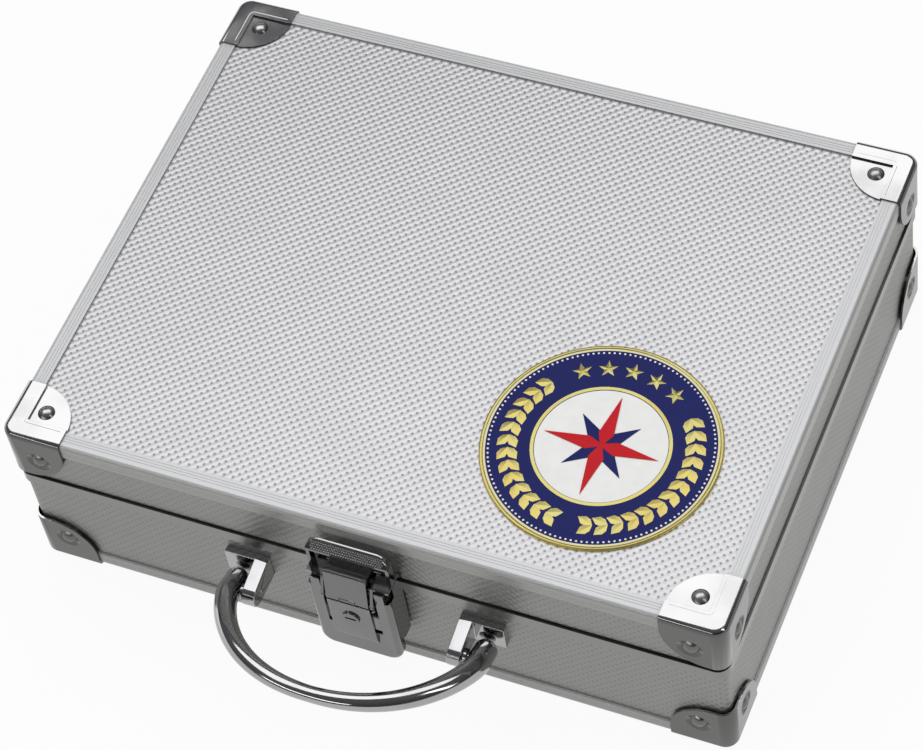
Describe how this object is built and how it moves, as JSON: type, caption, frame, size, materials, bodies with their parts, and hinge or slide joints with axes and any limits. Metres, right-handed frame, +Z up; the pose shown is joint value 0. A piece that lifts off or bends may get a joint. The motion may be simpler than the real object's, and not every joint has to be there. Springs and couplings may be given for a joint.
{
  "type": "coin display case",
  "caption": "Small aluminium display case for coins, with riveted corner caps, a bail handle, a keyed latch, a round badge on the lid and stacked coin trays inside.",
  "frame": {"origin": "on the surface that the case stands on, under the middle of its whole outline, handle and hinges included", "axes": "+X along the front towards the right, -Y out of the front with the latch and the handle, +Z up through the lid"},
  "size_m": [0.2478, 0.2428, 0.0717],
  "materials": {
    "embossed_panel": "fine embossed lattice, satin",
    "rail_aluminium": "satin anodised, finely grooved lengthwise",
    "corner_steel": "polished nickel plate",
    "chrome": "polished",
    "dark_steel": "plain",
    "badge_enamel": "printed enamel in a gold rim",
    "lining_velvet": "short pile",
    "tray_velvet": "flocked"
  },
  "bodies": {
    "base": {"base_bottom_panel": "embossed_panel", "base_front_panel": "embossed_panel", "base_back_panel": "embossed_panel", "base_left_panel": "embossed_panel", "base_right_panel": "embossed_panel", "base_front_rail": "rail_aluminium", "base_back_rail": "rail_aluminium", "base_left_rail": "rail_aluminium", "base_right_rail": "rail_aluminium", "base_rim_frame": "rail_aluminium", "base_corner_front_left": "corner_steel", "base_corner_front_right": "corner_steel", "base_corner_back_left": "corner_steel", "base_corner_back_right": "corner_steel", "base_rivets": "corner_steel", "base_lining": "lining_velvet", "coin_tray_1": "tray_velvet", "coin_tray_2": "tray_velvet", "coin_tray_3": "tray_velvet", "coin_tray_4": "tray_velvet", "coin_tray_5": "tray_velvet", "coin_tray_6": "tray_velvet", "handle_bracket_left": "chrome", "handle_bracket_right": "chrome", "handle_pins": "chrome", "latch_base": "chrome", "latch_cover": "chrome", "latch_face": "chrome", "latch_pin": "dark_steel", "base_hinge_leaf_left": "rail_aluminium", "base_hinge_leaf_right": "rail_aluminium", "hinge_pins": "dark_steel"},
    "lid": {"lid_top_panel": "embossed_panel", "lid_front_panel": "embossed_panel", "lid_back_panel": "embossed_panel", "lid_left_panel": "embossed_panel", "lid_right_panel": "embossed_panel", "lid_front_rail": "rail_aluminium", "lid_back_rail": "rail_aluminium", "lid_left_rail": "rail_aluminium", "lid_right_rail": "rail_aluminium", "lid_rim_frame": "rail_aluminium", "lid_corner_front_left": "corner_steel", "lid_corner_front_right": "corner_steel", "lid_corner_back_left": "corner_steel", "lid_corner_back_right": "corner_steel", "lid_rivets": "corner_steel", "lid_lining": "lining_velvet", "lid_pad": "lining_velvet", "badge": "badge_enamel", "latch_catch": "chrome", "lid_hinge_leaf_left": "rail_aluminium", "lid_hinge_leaf_right": "rail_aluminium"},
    "handle": {"handle": "chrome"},
    "lever": {"latch_lever": "chrome", "latch_claw": "chrome"},
    "lock": {"lock_barrel": "chrome", "lock_cam": "dark_steel"}
  },
  "joints": [
    {"name": "lid_hinge", "type": "hinge", "parent": "base", "child": "lid", "pos_m": [0, 0.11897, 0.0472], "axis": [-1, 0, 0], "range_deg": [0, 100]},
    {"name": "handle_swing", "type": "hinge", "parent": "base", "child": "handle", "pos_m": [0, -0.08593, 0.0307], "axis": [-1, 0, 0], "range_deg": [-60, 60]},
    {"name": "latch_swing", "type": "hinge", "parent": "base", "child": "lever", "pos_m": [0, -0.08553, 0.0446], "axis": [1, 0, 0], "range_deg": [0, 90]},
    {"name": "lock_turn", "type": "hinge", "parent": "base", "child": "lock", "pos_m": [0, -0.07963, 0.0352], "axis": [0, -1, 0], "range_deg": [0, 90]}
  ]
}
